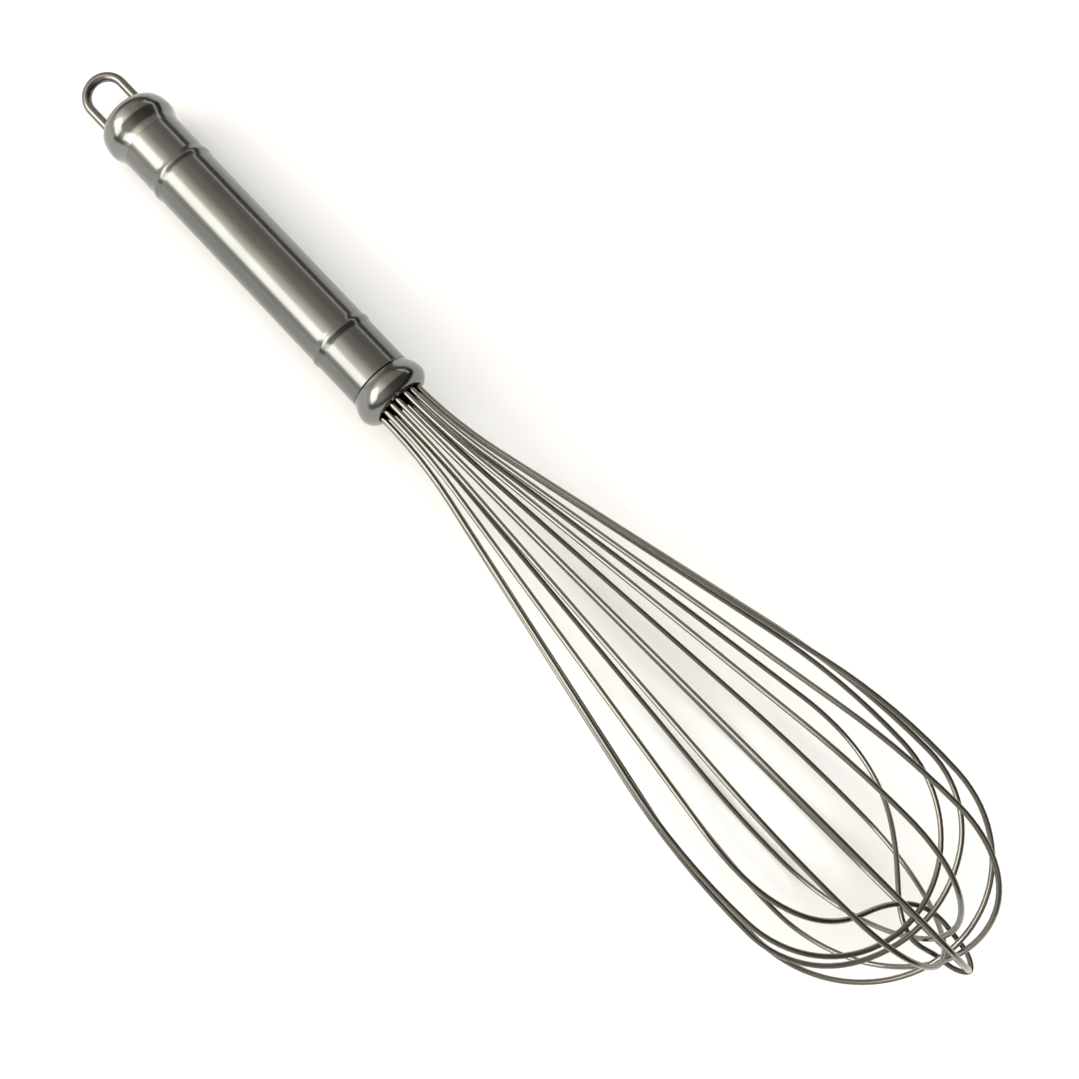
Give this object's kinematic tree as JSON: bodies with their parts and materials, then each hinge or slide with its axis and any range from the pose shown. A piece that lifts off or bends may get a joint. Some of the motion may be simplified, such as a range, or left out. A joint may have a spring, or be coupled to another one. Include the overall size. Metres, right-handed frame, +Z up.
{
  "type": "balloon whisk",
  "caption": "Balloon whisk: bowed wire loops form an open balloon head on a round tube handle with a bead collar at the mouth, a domed rear cap and a wire hanging loop.",
  "frame": {"origin": "middle of the bounding box seen from above, on the surface the whisk lies on", "axes": "+X along the whisk from the hanging loop to the tip of the wire head, +Y to the side, +Z up from the surface it lies on"},
  "size_m": [0.3518, 0.0698, 0.0736],
  "materials": {
    "wires": "polished stainless spring wire",
    "handle": "polished stainless sheet, faint brushing round the tube",
    "collar": "polished stainless, turned",
    "hanger": "polished stainless wire",
    "strap": "plain steel strip",
    "core": "moulded, matt",
    "resin": "cast sealing resin, matt dark",
    "foam": "light closed-cell filler",
    "crimp": "drawn aluminium sleeve"
  },
  "bodies": {
    "root": {"wire_1": "wires", "wire_2": "wires", "wire_3": "wires", "wire_4": "wires", "wire_5": "wires", "wire_6": "wires", "wire_7": "wires", "wire_8": "wires", "handle_tube": "handle", "front_collar": "collar", "rear_cap": "collar", "hanger_loop": "hanger", "wire_core": "core", "band_front": "strap", "band_rear": "strap", "mouth_seal": "resin", "leg_potting": "resin", "handle_filler": "foam", "rear_plug": "core", "hanger_lock_plate": "strap", "hanger_crimp_1": "crimp", "hanger_crimp_2": "crimp"}
  },
  "joints": []
}
